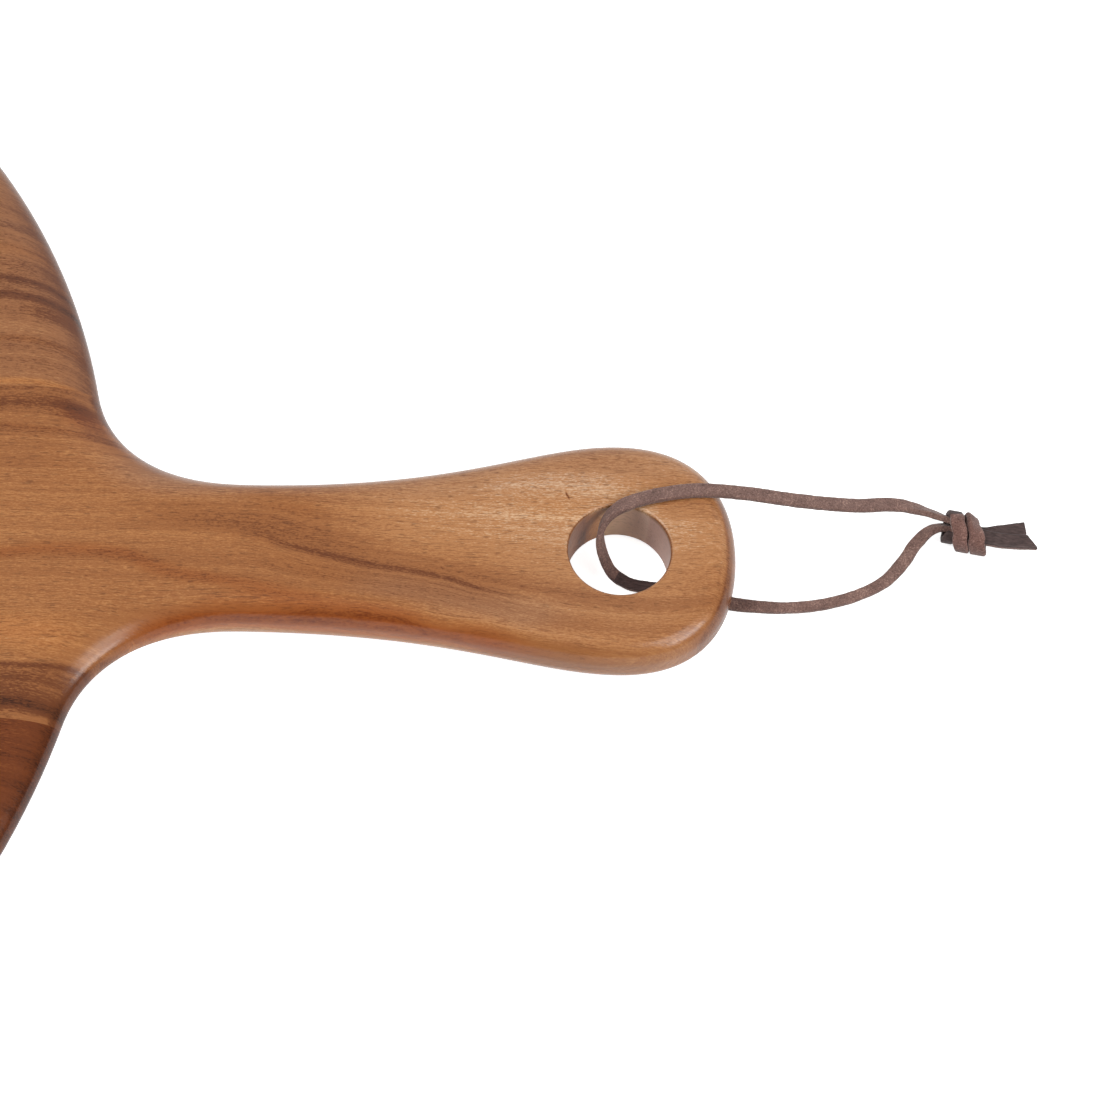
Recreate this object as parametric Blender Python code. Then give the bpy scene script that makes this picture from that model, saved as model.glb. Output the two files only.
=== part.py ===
"""Round serving board: five edge-glued staves, a shaped handle with a hanging hole, and a knotted leather thong.

Metres, +Z up, +X from the plate towards the end of the handle, +Y to the left of that direction.
Plans and routes are written from the plate's centre and the board's underside; the rest empty turns that
into the resting pose: the thong runs under the handle, so the board lies on its far rim and on the thong.
"""

import math

import bmesh
import bpy
from mathutils import Vector
from mathutils.geometry import interpolate_bezier

MM = 0.001

# Board, from the photograph at the scale that makes the hanging hole 25 mm wide
PLATE_RADIUS = 205.0 * MM
THICKNESS = 15.0 * MM
GLUE_LINE = 0.1 * MM

# Rounded edge, a quarter ellipse over and under: broad round the plate, tighter along the handle
PLATE_EDGE_REACH = 17.0 * MM
PLATE_EDGE_DEPTH = 7.4 * MM
HANDLE_EDGE_REACH = 6.2 * MM
HANDLE_EDGE_DEPTH = 6.4 * MM
EDGE_STEPS = 5

# Handle: half widths and where they lie along X, with the reach of each curve's tangent
FILLET_HALF = 46.6 * MM
FILLET_REACH = 19.0 * MM
NECK_X = 240.2 * MM
NECK_HALF = 19.15 * MM
NECK_REACH_BACK = 19.9 * MM
NECK_REACH_ON = 53.2 * MM
WIDEST_X = 331.1 * MM
WIDEST_HALF = 30.8 * MM
WIDEST_REACH_BACK = 21.5 * MM
TIP_X = 359.9 * MM
TIP_SQUARENESS = 0.64
END_SHIFT = 1.4 * MM
PLATE_ARCS = 6
OUTLINE_STEPS = 14

# Hanging hole
HOLE_X = 331.1 * MM
HOLE_RADIUS = 12.5 * MM
HOLE_EASE = 0.9 * MM
HOLE_STEPS = 64

# Glue lines, along Y: the inner two are seen in the photograph, the outer two are guessed
GLUE_FAR = 44.4 * MM
GLUE_NEAR = -48.4 * MM
GLUE_FAR_OUTER = 122.0 * MM
GLUE_NEAR_OUTER = -126.0 * MM

# Thong: a flat leather strip
THONG_WIDTH = 3.6 * MM
THONG_THICKNESS = 1.6 * MM
THONG_CORNER = 0.45 * MM
THONG_STEP = 4.0 * MM
THONG_GAP = 0.3 * MM
TABLE_HAIR = 0.15 * MM

# Resting pose: the far end of the flat underside stays on the table, the thong lifts the handle
REST_X = -(PLATE_RADIUS - PLATE_EDGE_REACH)
LIFT_AT_HOLE = THONG_THICKNESS + THONG_GAP + TABLE_HAIR
LEAN = math.asin(LIFT_AT_HOLE / (HOLE_X - REST_X))
MIDDLE_X = (TIP_X - PLATE_RADIUS) / 2

# Knot: a strip wound round both strands, its axis level and turned a little from X
KNOT_X = 419.2 * MM
KNOT_Y = 13.6 * MM
KNOT_TURN = math.radians(-11.0)
KNOT_HALF_WIDTH = 5.2 * MM
KNOT_HALF_HEIGHT = 5.0 * MM
KNOT_PITCH = 4.2 * MM
KNOT_TURNS = 2.25
KNOT_POINTS_PER_TURN = 16


def table(x):
    """Height of the table under a point of the board, from the board's own underside."""
    return -math.tan(LEAN) * (x - REST_X)


ON_WOOD = THICKNESS + THONG_GAP + THONG_THICKNESS / 2
UNDER_WOOD = -(THONG_GAP + THONG_THICKNESS / 2)
KNOT_Z = table(KNOT_X) + TABLE_HAIR + KNOT_HALF_HEIGHT


def on_table(x):
    """Height of the strip's middle where it lies flat on the table."""
    return table(x) + TABLE_HAIR + THONG_THICKNESS / 2


def at(x, y, z):
    """A route point: X and Y in millimetres, Z in metres above the board's underside."""
    return Vector((x * MM, y * MM, z))


# The loop, from inside the knot over the handle, down through the hole, under it and back to the knot
LOOP_ROUTE = [
    at(418.4, 14.5, KNOT_Z + 1.0 * MM),
    at(414.5, 16.3, KNOT_Z + 1.4 * MM),
    at(410.0, 18.1, 4.4 * MM),
    at(405.2, 19.2, 5.2 * MM),
    at(400.6, 19.5, 6.0 * MM),
    at(391.4, 17.8, 8.0 * MM),
    at(382.0, 16.7, 10.6 * MM),
    at(372.7, 16.1, 13.2 * MM),
    at(364.6, 16.2, 15.0 * MM),
    at(357.0, 16.5, ON_WOOD - 0.4 * MM),
    at(349.2, 16.3, ON_WOOD),
    at(342.4, 15.2, ON_WOOD),
    at(336.2, 13.4, ON_WOOD + 0.1 * MM),
    at(331.0, 11.0, ON_WOOD - 0.1 * MM),
    at(327.8, 8.9, 13.4 * MM),
    at(326.6, 6.3, 10.0 * MM),
    at(327.6, 3.1, 6.0 * MM),
    at(330.0, 0.5, 2.3 * MM),
    at(333.6, -0.9, -0.1 * MM),
    at(338.5, -1.6, UNDER_WOOD),
    at(346.0, -2.7, UNDER_WOOD),
    at(353.0, -4.3, UNDER_WOOD),
    at(360.1, -5.8, on_table(360.1 * MM)),
    at(367.0, -6.5, on_table(367.0 * MM)),
    at(373.5, -6.6, on_table(373.5 * MM)),
    at(382.5, -5.4, on_table(382.5 * MM)),
    at(391.6, -2.4, on_table(391.6 * MM)),
    at(398.3, 1.6, on_table(398.3 * MM)),
    at(403.1, 7.1, on_table(403.1 * MM)),
    at(406.9, 12.3, 0.3 * MM),
    at(410.7, 15.0, 1.8 * MM),
    at(414.4, 15.4, KNOT_Z - 0.7 * MM),
    at(418.4, 13.3, KNOT_Z - 1.0 * MM),
]
# How far the strip has turned about its own length, by its share of the loop: it twists flat in the hole
LOOP_TILTS = [(0.0, 0.0), (0.42, 0.0), (0.48, 40.0), (0.53, 60.0), (0.585, 84.0), (0.9, 85.0), (0.94, 82.0), (1.0, 71.0)]
FLAT_TILTS = [(0.0, 0.0), (1.0, 0.0)]

# The tails: the near one leaves the knot over the far one
FAR_TAIL_ROUTE = [
    at(419.3, 14.2, KNOT_Z - 1.0 * MM),
    at(423.6, 13.7, KNOT_Z - 0.9 * MM),
    at(428.0, 15.0, KNOT_Z - 2.0 * MM),
    at(434.4, 16.9, KNOT_Z - 3.4 * MM),
]
NEAR_TAIL_ROUTE = [
    at(419.3, 12.7, KNOT_Z + 1.0 * MM),
    at(423.6, 11.6, KNOT_Z + 1.0 * MM),
    at(428.0, 11.5, KNOT_Z - 0.1 * MM),
    at(435.4, 12.2, KNOT_Z - 1.8 * MM),
]

WOOD_COLOUR = (0.36, 0.18, 0.07, 1.0)
WOOD_DARK_COLOUR = (0.22, 0.09, 0.035, 1.0)
LEATHER_COLOUR = (0.13, 0.085, 0.065, 1.0)


def material(name, colour, roughness):
    made = bpy.data.materials.new(name)
    made.use_nodes = True
    shader = made.node_tree.nodes["Principled BSDF"]
    shader.inputs["Base Color"].default_value = colour
    shader.inputs["Roughness"].default_value = roughness
    made.diffuse_color = colour
    return made


def collection(name):
    made = bpy.data.collections.new(name)
    bpy.context.scene.collection.children.link(made)
    return made


def empty(name, parent, location):
    made = bpy.data.objects.new(name, None)
    bpy.context.scene.collection.objects.link(made)
    made.parent = parent
    made.location = location
    return made


def mesh_of_curve(curve_object):
    """The evaluated curve as a plain closed mesh, with the seams of its caps welded."""
    bpy.context.view_layer.update()
    graph = bpy.context.evaluated_depsgraph_get()
    mesh = bpy.data.meshes.new_from_object(curve_object.evaluated_get(graph))
    shape = bmesh.new()
    shape.from_mesh(mesh)
    bmesh.ops.remove_doubles(shape, verts=shape.verts, dist=0.01 * MM)
    bmesh.ops.recalc_face_normals(shape, faces=shape.faces)
    shape.to_mesh(mesh)
    shape.free()
    return mesh


def add_mesh(name, mesh, group, parent, look=None):
    made = bpy.data.objects.new(name, mesh)
    group.objects.link(made)
    made.parent = parent
    if look:
        mesh.materials.clear()
        mesh.materials.append(look)
    return made


def outline():
    """Bezier points of the plan, as (point, handle before, handle after), anticlockwise round the board."""
    start = math.asin(FILLET_HALF / PLATE_RADIUS)
    arc = (2 * math.pi - 2 * start) / PLATE_ARCS
    arc_reach = 4 / 3 * math.tan(arc / 4) * PLATE_RADIUS
    end_reach = TIP_SQUARENESS * (TIP_X - WIDEST_X)
    tip_reach = TIP_SQUARENESS * WIDEST_HALF
    along_x = Vector((1, 0, 0))
    along_y = Vector((0, 1, 0))
    far_end = Vector((WIDEST_X, END_SHIFT + WIDEST_HALF, 0))
    far_neck = Vector((NECK_X, NECK_HALF, 0))
    near_neck = Vector((NECK_X, -NECK_HALF, 0))
    near_end = Vector((WIDEST_X, END_SHIFT - WIDEST_HALF, 0))
    tip = Vector((TIP_X, END_SHIFT, 0))
    points = [
        (far_end, far_end + along_x * end_reach, far_end - along_x * WIDEST_REACH_BACK),
        (far_neck, far_neck + along_x * NECK_REACH_ON, far_neck - along_x * NECK_REACH_BACK),
    ]
    for step in range(PLATE_ARCS + 1):
        angle = start + step * arc
        out = Vector((math.cos(angle), math.sin(angle), 0))
        along = Vector((-math.sin(angle), math.cos(angle), 0))
        before = FILLET_REACH if step == 0 else arc_reach
        after = FILLET_REACH if step == PLATE_ARCS else arc_reach
        point = out * PLATE_RADIUS
        points.append((point, point - along * before, point + along * after))
    points += [
        (near_neck, near_neck - along_x * NECK_REACH_BACK, near_neck + along_x * NECK_REACH_ON),
        (near_end, near_end - along_x * WIDEST_REACH_BACK, near_end + along_x * end_reach),
        (tip, tip - along_y * tip_reach, tip + along_y * tip_reach),
    ]
    return points


def plan():
    """Points round the plan and the outward direction at each."""
    knots = outline()
    points = []
    for (start, _, leave), (end, arrive, _) in zip(knots, knots[1:] + knots[:1]):
        points += interpolate_bezier(start, leave, arrive, end, OUTLINE_STEPS + 1)[:-1]
    outs = []
    for index, point in enumerate(points):
        along = points[(index + 1) % len(points)] - points[index - 1]
        outs.append(Vector((along.y, -along.x, 0)).normalized())
    return points, outs


def edge_at(x):
    """How far in and how deep the edge is rounded: the plate's edge eases into the handle's at the fillet."""
    fillet_x = math.sqrt(PLATE_RADIUS**2 - FILLET_HALF**2)
    share = min(max((x - fillet_x) / (NECK_X - fillet_x), 0), 1)
    ease = share * share * (3 - 2 * share)
    reach = PLATE_EDGE_REACH + (HANDLE_EDGE_REACH - PLATE_EDGE_REACH) * ease
    depth = PLATE_EDGE_DEPTH + (HANDLE_EDGE_DEPTH - PLATE_EDGE_DEPTH) * ease
    return reach, depth


def board_form(group, parent):
    """The whole board in one piece, lofted up its rounded edge: every stave is what its own strip keeps of it."""
    points, outs = plan()
    turns = [math.pi / 2 * step / EDGE_STEPS for step in range(EDGE_STEPS + 1)]
    levels = [(-1, turn) for turn in reversed(turns)] + [(1, turn) for turn in turns]
    shape = bmesh.new()
    rings = []
    for side, turn in levels:
        ring = []
        for point, out in zip(points, outs):
            reach, depth = edge_at(point.x)
            inset = reach * (1 - math.cos(turn))
            height = THICKNESS / 2 + side * (THICKNESS / 2 - depth + depth * math.sin(turn))
            ring.append(shape.verts.new(point - out * inset + Vector((0, 0, height))))
        rings.append(ring)
    for below, above in zip(rings, rings[1:]):
        for index in range(len(points)):
            corners = (below[index - 1], below[index], above[index], above[index - 1])
            shape.faces.new(corners)
    shape.faces.new(reversed(rings[0]))
    shape.faces.new(rings[-1])
    mesh = bpy.data.meshes.new("board_form")
    shape.to_mesh(mesh)
    shape.free()
    return add_mesh("board_form", mesh, group, parent)


def hole_form(group, parent):
    """A turned cutter whose ends flare to ease the rims of the hanging hole."""
    past = 2 * MM
    rim = HOLE_RADIUS + HOLE_EASE
    profile = [(0, -past), (rim, -past)]
    for step in range(5):
        angle = math.radians(90 * step / 4)
        profile.append((rim - HOLE_EASE * math.sin(angle), HOLE_EASE - HOLE_EASE * math.cos(angle)))
    for step in range(5):
        angle = math.radians(90 * step / 4)
        profile.append((rim - HOLE_EASE * math.cos(angle), THICKNESS - HOLE_EASE + HOLE_EASE * math.sin(angle)))
    profile += [(rim, THICKNESS + past), (0, THICKNESS + past)]
    shape = bmesh.new()
    line = [shape.verts.new((radius, 0, height)) for radius, height in profile]
    edges = [shape.edges.new(pair) for pair in zip(line, line[1:])]
    bmesh.ops.spin(
        shape,
        geom=line + edges,
        axis=(0, 0, 1),
        cent=(0, 0, 0),
        angle=2 * math.pi,
        steps=HOLE_STEPS,
        use_merge=True,
    )
    bmesh.ops.remove_doubles(shape, verts=shape.verts, dist=0.01 * MM)
    bmesh.ops.recalc_face_normals(shape, faces=shape.faces)
    mesh = bpy.data.meshes.new("hole_form")
    shape.to_mesh(mesh)
    shape.free()
    form = add_mesh("hole_form", mesh, group, parent)
    form.location = (HOLE_X, 0, 0)
    return form


def cut(target, tool, operation):
    boolean = target.modifiers.new(operation.lower(), "BOOLEAN")
    boolean.object = tool
    boolean.operation = operation
    boolean.solver = "EXACT"


def stave(name, low, high, form, group, parent, look):
    """A blank between two glue lines, longer and thicker than the board, kept where it meets the form."""
    shape = bmesh.new()
    bmesh.ops.create_cube(shape, size=1)
    bmesh.ops.scale(shape, vec=(1.2 * (TIP_X + PLATE_RADIUS), high - low, 2 * THICKNESS), verts=shape.verts)
    bmesh.ops.translate(shape, vec=(MIDDLE_X, (low + high) / 2, THICKNESS / 2), verts=shape.verts)
    mesh = bpy.data.meshes.new(name)
    shape.to_mesh(mesh)
    shape.free()
    made = add_mesh(name, mesh, group, parent, look)
    cut(made, form, "INTERSECT")
    return made


def through(route, step):
    """Points spaced evenly along a smooth curve through the route (centripetal Catmull-Rom)."""
    ends = [2 * route[0] - route[1]] + route + [2 * route[-1] - route[-2]]
    fine = []
    for a, b, c, d in zip(ends, ends[1:], ends[2:], ends[3:]):
        t1 = (b - a).length ** 0.5
        t2 = t1 + (c - b).length ** 0.5
        t3 = t2 + (d - c).length ** 0.5
        for share in range(24):
            t = t1 + (t2 - t1) * share / 24
            ab = a + (b - a) * (t / t1)
            bc = b + (c - b) * ((t - t1) / (t2 - t1))
            cd = c + (d - c) * ((t - t2) / (t3 - t2))
            abc = ab + (bc - ab) * (t / t2)
            bcd = bc + (cd - bc) * ((t - t1) / (t3 - t1))
            fine.append(abc + (bcd - abc) * ((t - t1) / (t2 - t1)))
    fine.append(route[-1])
    length = sum((q - p).length for p, q in zip(fine, fine[1:]))
    count = max(2, round(length / step))
    points = [fine[0]]
    walked = 0.0
    for p, q in zip(fine, fine[1:]):
        span = (q - p).length
        while span > 0 and len(points) < count and walked + span >= len(points) * length / count:
            points.append(p + (q - p) * ((len(points) * length / count - walked) / span))
        walked += span
    points.append(fine[-1])
    return points


def strip_section():
    """The thong's cross-section, a flat strip with softened corners, as the profile of its curves."""
    wide = THONG_WIDTH / 2
    thick = THONG_THICKNESS / 2
    soft = THONG_CORNER
    corners = [
        (wide, -thick + soft),
        (wide, thick - soft),
        (wide - soft, thick),
        (-wide + soft, thick),
        (-wide, thick - soft),
        (-wide, -thick + soft),
        (-wide + soft, -thick),
        (wide - soft, -thick),
    ]
    curve = bpy.data.curves.new("strip_section", "CURVE")
    curve.dimensions = "2D"
    spline = curve.splines.new("POLY")
    spline.points.add(len(corners) - 1)
    spline.use_cyclic_u = True
    for point, (across, up) in zip(spline.points, corners):
        point.co = (across, up, 0, 1)
    section = bpy.data.objects.new("strip_section", curve)
    bpy.context.scene.collection.objects.link(section)
    return section


def tilt_at(share, tilts):
    """The turn in radians at a share of the strip's length, straight between the listed turns."""
    for (low, first), (high, last) in zip(tilts, tilts[1:]):
        if share <= high:
            return math.radians(first + (last - first) * (share - low) / (high - low))
    return math.radians(tilts[-1][1])


def strip(name, points, section, twist, tilts, origin, group, parent, look):
    """A flat strip along the points, turned about its own length as tilts lists."""
    curve = bpy.data.curves.new(name, "CURVE")
    curve.dimensions = "3D"
    curve.twist_mode = twist
    curve.bevel_mode = "OBJECT"
    curve.bevel_object = section
    curve.use_fill_caps = True
    spline = curve.splines.new("POLY")
    spline.points.add(len(points) - 1)
    for index, point in enumerate(points):
        share = index / (len(points) - 1)
        spline.points[index].co = (*(point - origin), 1)
        spline.points[index].tilt = tilt_at(share, tilts)
    line = bpy.data.objects.new(name + "_line", curve)
    bpy.context.scene.collection.objects.link(line)
    mesh = mesh_of_curve(line)
    bpy.data.objects.remove(line)
    return add_mesh(name, mesh, group, parent, look)


def knot_route():
    """Turns of the strip round the knot's axis, an oval as wide and high as the knot."""
    along = Vector((math.cos(KNOT_TURN), math.sin(KNOT_TURN), 0))
    across = Vector((-math.sin(KNOT_TURN), math.cos(KNOT_TURN), 0))
    up = Vector((0, 0, 1))
    middle = Vector((KNOT_X, KNOT_Y, KNOT_Z))
    wide = KNOT_HALF_WIDTH - THONG_THICKNESS / 2
    high = KNOT_HALF_HEIGHT - THONG_THICKNESS / 2
    count = round(KNOT_TURNS * KNOT_POINTS_PER_TURN)
    points = []
    for index in range(count + 1):
        turn = index / KNOT_POINTS_PER_TURN
        angle = 2 * math.pi * (turn - KNOT_TURNS)
        shift = along * (KNOT_PITCH * (turn - KNOT_TURNS / 2))
        points.append(middle + shift + across * (wide * math.cos(angle)) + up * (high * math.sin(angle)))
    return points


def build():
    for thing in list(bpy.data.objects):
        bpy.data.objects.remove(thing)
    parts = collection("round_serving_board")
    cutters = collection("cutters")

    # The lean turns the handle end up about the point of the underside that stays on the table
    rest = empty("rest", None, (REST_X - MIDDLE_X, 0, 0))
    rest.rotation_euler = (0, -LEAN, 0)
    board = empty("board", rest, (-REST_X, 0, 0))
    swivel = empty("thong_swivel", board, (HOLE_X, 0, 0))

    form = board_form(cutters, board)
    hole = hole_form(cutters, board)
    half_line = GLUE_LINE / 2
    light = material("acacia", WOOD_COLOUR, 0.4)
    dark = material("acacia_dark", WOOD_DARK_COLOUR, 0.4)
    past = PLATE_RADIUS + 10 * MM
    centre = stave(
        "centre_stave", GLUE_NEAR + half_line, GLUE_FAR - half_line, form, parts, board, light
    )
    cut(centre, hole, "DIFFERENCE")
    stave("far_inner_stave", GLUE_FAR + half_line, GLUE_FAR_OUTER - half_line, form, parts, board, light)
    stave("near_inner_stave", GLUE_NEAR_OUTER + half_line, GLUE_NEAR - half_line, form, parts, board, dark)
    stave("far_outer_stave", GLUE_FAR_OUTER + half_line, past, form, parts, board, dark)
    stave("near_outer_stave", -past, GLUE_NEAR_OUTER - half_line, form, parts, board, light)

    leather = material("leather", LEATHER_COLOUR, 0.85)
    section = strip_section()
    axis = Vector((HOLE_X, 0, 0))
    loop = through(LOOP_ROUTE, THONG_STEP)
    strip("thong_loop", loop, section, "MINIMUM", LOOP_TILTS, axis, parts, swivel, leather)
    strip("thong_knot", knot_route(), section, "TANGENT", FLAT_TILTS, axis, parts, swivel, leather)
    far_tail = through(FAR_TAIL_ROUTE, THONG_STEP)
    near_tail = through(NEAR_TAIL_ROUTE, THONG_STEP)
    strip("thong_far_tail", far_tail, section, "Z_UP", FLAT_TILTS, axis, parts, swivel, leather)
    strip("thong_near_tail", near_tail, section, "Z_UP", FLAT_TILTS, axis, parts, swivel, leather)
    bpy.data.objects.remove(section)

    for tool in cutters.objects:
        tool.hide_render = True
        tool.display_type = "WIRE"
    for node in parts.objects:
        node.data.polygons.foreach_set("use_smooth", [True] * len(node.data.polygons))


build()
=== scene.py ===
"""Looks of the round serving board: fine acacia staves under a satin lacquer, and a suede thong, on white.

Lengths are metres in the board's own frame: X from the plate's centre along the handle, Y across the board,
Z from its underside. REST turns that frame into the resting pose, where the board leans on its thong.
"""

import math

import bmesh
import bpy
from mathutils import Matrix, Quaternion, Vector, noise
from mathutils.geometry import interpolate_bezier


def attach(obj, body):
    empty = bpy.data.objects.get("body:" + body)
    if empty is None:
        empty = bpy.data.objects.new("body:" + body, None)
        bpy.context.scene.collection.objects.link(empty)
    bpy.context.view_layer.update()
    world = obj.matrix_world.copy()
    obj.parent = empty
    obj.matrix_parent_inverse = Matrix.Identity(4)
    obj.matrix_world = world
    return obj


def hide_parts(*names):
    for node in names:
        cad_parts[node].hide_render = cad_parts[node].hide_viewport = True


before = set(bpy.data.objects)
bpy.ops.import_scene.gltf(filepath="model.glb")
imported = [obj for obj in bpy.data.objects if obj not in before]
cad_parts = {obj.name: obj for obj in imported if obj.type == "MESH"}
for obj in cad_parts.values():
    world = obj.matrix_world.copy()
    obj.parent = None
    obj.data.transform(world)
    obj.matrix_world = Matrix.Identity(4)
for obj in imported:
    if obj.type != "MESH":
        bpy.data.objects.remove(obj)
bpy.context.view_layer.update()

MM = 0.001

# Board, as the solids have it
PLATE_RADIUS = 205.0 * MM
THICKNESS = 15.0 * MM
PLATE_EDGE_REACH = 17.0 * MM
PLATE_EDGE_DEPTH = 7.4 * MM
HANDLE_EDGE_REACH = 6.2 * MM
HANDLE_EDGE_DEPTH = 6.4 * MM
FILLET_HALF = 46.6 * MM
FILLET_REACH = 19.0 * MM
NECK_X = 240.2 * MM
NECK_HALF = 19.15 * MM
NECK_REACH_BACK = 19.9 * MM
NECK_REACH_ON = 53.2 * MM
WIDEST_X = 331.1 * MM
WIDEST_HALF = 30.8 * MM
WIDEST_REACH_BACK = 21.5 * MM
TIP_X = 359.9 * MM
TIP_SQUARENESS = 0.64
END_SHIFT = 1.4 * MM
HOLE_X = 331.1 * MM
HOLE_RADIUS = 12.5 * MM
HOLE_EASE = 0.9 * MM
GLUE_FAR = 44.4 * MM
GLUE_NEAR = -48.4 * MM
GLUE_FAR_OUTER = 122.0 * MM
GLUE_NEAR_OUTER = -126.0 * MM

# Fineness of the wood's surface
PLATE_ARCS = 6
OUTLINE_STEPS = 44
EDGE_STEPS = 14
HOLE_STEPS = 144
EASE_STEPS = 8
GLUE_HAIRLINE = 0.02 * MM
WOOD_SHARP_ANGLE = math.radians(35)
FLAT_FACE_WEIGHT = 90

# Thong, as the solids have it
THONG_WIDTH = 3.6 * MM
THONG_THICKNESS = 1.6 * MM
THONG_GAP = 0.3 * MM
TABLE_HAIR = 0.15 * MM
KNOT_X = 419.2 * MM
KNOT_Y = 13.6 * MM
KNOT_TURN = math.radians(-11.0)
KNOT_HALF_WIDTH = 5.2 * MM
KNOT_HALF_HEIGHT = 5.0 * MM

# Resting pose
REST_X = -(PLATE_RADIUS - PLATE_EDGE_REACH)
LEAN = math.asin((THONG_THICKNESS + THONG_GAP + TABLE_HAIR) / (HOLE_X - REST_X))
MIDDLE_X = (TIP_X - PLATE_RADIUS) / 2
REST = (
    Matrix.Translation((REST_X - MIDDLE_X, 0, 0))
    @ Matrix.Rotation(-LEAN, 4, "Y")
    @ Matrix.Translation((-REST_X, 0, 0))
)

# Camera, fitted to the photograph
TARGET = Vector((314.54 * MM, 8.11 * MM, 0))
CAMERA_DISTANCE = 639.7 * MM
CAMERA_ELEVATION = math.radians(59.51)
CAMERA_YAW = math.radians(-2.57)
CAMERA_ROLL = math.radians(3.23)
CAMERA_LENS = 83.87


def table(x):
    return -math.tan(LEAN) * (x - REST_X)


ON_WOOD = THICKNESS + THONG_GAP + THONG_THICKNESS / 2
UNDER_WOOD = -(THONG_GAP + THONG_THICKNESS / 2)
KNOT_Z = table(KNOT_X) + TABLE_HAIR + KNOT_HALF_HEIGHT


def on_table(x):
    return table(x) + TABLE_HAIR + THONG_THICKNESS / 2


def at(x, y, z):
    return Vector((x * MM, y * MM, z))


# The loop, from inside the knot over the handle, down through the hole, under it and back to the knot
LOOP_ROUTE = [
    at(418.4, 14.5, KNOT_Z + 1.0 * MM),
    at(414.5, 16.3, KNOT_Z + 1.4 * MM),
    at(410.0, 18.1, 4.4 * MM),
    at(405.2, 19.2, 5.2 * MM),
    at(400.6, 19.5, 6.0 * MM),
    at(391.4, 17.8, 8.0 * MM),
    at(382.0, 16.7, 10.6 * MM),
    at(372.7, 16.1, 13.2 * MM),
    at(364.6, 16.2, 15.0 * MM),
    at(357.0, 16.5, ON_WOOD - 0.4 * MM),
    at(349.2, 16.3, ON_WOOD),
    at(342.4, 15.2, ON_WOOD),
    at(336.2, 13.4, ON_WOOD + 0.1 * MM),
    at(331.0, 11.0, ON_WOOD - 0.1 * MM),
    at(327.8, 8.9, 13.4 * MM),
    at(326.6, 6.3, 10.0 * MM),
    at(327.6, 3.1, 6.0 * MM),
    at(330.0, 0.5, 2.3 * MM),
    at(333.6, -0.9, -0.1 * MM),
    at(338.5, -1.6, UNDER_WOOD),
    at(346.0, -2.7, UNDER_WOOD),
    at(353.0, -4.3, UNDER_WOOD),
    at(360.1, -5.8, on_table(360.1 * MM)),
    at(367.0, -6.5, on_table(367.0 * MM)),
    at(373.5, -6.6, on_table(373.5 * MM)),
    at(382.5, -5.4, on_table(382.5 * MM)),
    at(391.6, -2.4, on_table(391.6 * MM)),
    at(398.3, 1.6, on_table(398.3 * MM)),
    at(403.1, 7.1, on_table(403.1 * MM)),
    at(406.9, 12.3, 0.3 * MM),
    at(410.7, 15.0, 1.8 * MM),
    at(414.4, 15.4, KNOT_Z - 0.7 * MM),
    at(418.4, 13.3, KNOT_Z - 1.0 * MM),
]
FAR_TAIL_ROUTE = [
    at(419.3, 14.2, KNOT_Z - 1.0 * MM),
    at(423.6, 13.7, KNOT_Z - 0.9 * MM),
    at(428.0, 15.0, KNOT_Z - 2.0 * MM),
    at(434.4, 16.9, KNOT_Z - 3.4 * MM),
]
NEAR_TAIL_ROUTE = [
    at(419.3, 12.7, KNOT_Z + 1.0 * MM),
    at(423.6, 11.6, KNOT_Z + 1.0 * MM),
    at(428.0, 11.5, KNOT_Z - 0.1 * MM),
    at(435.4, 12.2, KNOT_Z - 1.8 * MM),
]


# Nodes

NOISE_SPAN = (0.2, 0.8)


def add_node(tree, kind, inputs=None, **settings):
    """A new node with its settings, each input either linked from a socket or filled with a value."""
    made = tree.nodes.new(kind)
    for name, value in settings.items():
        setattr(made, name, value)
    for key, value in (inputs or {}).items():
        if isinstance(value, bpy.types.NodeSocket):
            tree.links.new(value, made.inputs[key])
        else:
            made.inputs[key].default_value = value
    return made


def maths(tree, operation, *values):
    return add_node(tree, "ShaderNodeMath", dict(enumerate(values)), operation=operation).outputs[0]


def between(tree, share, first, second):
    """From the first value to the second as the share goes from 0 to 1."""
    return maths(tree, "MULTIPLY_ADD", maths(tree, "SUBTRACT", second, first), share, first)


def mixed(tree, factor, first, second, blend="MIX"):
    inputs = {0: factor, 6: first, 7: second}
    return add_node(tree, "ShaderNodeMix", inputs, data_type="RGBA", blend_type=blend).outputs[2]


def ranged(tree, value, low, high, to_low=0.0, to_high=1.0, smooth=True):
    inputs = {"Value": value, "From Min": low, "From Max": high, "To Min": to_low, "To Max": to_high}
    kind = "SMOOTHSTEP" if smooth else "LINEAR"
    return add_node(tree, "ShaderNodeMapRange", inputs, interpolation_type=kind).outputs[0]


def noised(tree, vector, detail=2.0, roughness=0.5, scale=1.0):
    inputs = {"Vector": vector, "Detail": detail, "Roughness": roughness, "Scale": scale}
    return add_node(tree, "ShaderNodeTexNoise", inputs).outputs[0]


def swung(tree, grain, swing):
    """A noise as a change of tone that goes as far down as up."""
    return ranged(tree, grain, *NOISE_SPAN, -swing, swing, smooth=False)


def stretched(tree, vector, scale, shift=(0, 0, 0), turn=(0, 0, 0)):
    inputs = {"Vector": vector, "Location": shift, "Rotation": turn, "Scale": scale}
    return add_node(tree, "ShaderNodeMapping", inputs).outputs[0]


def combined(tree, x, y, z):
    return add_node(tree, "ShaderNodeCombineXYZ", {0: x, 1: y, 2: z}).outputs[0]


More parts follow.
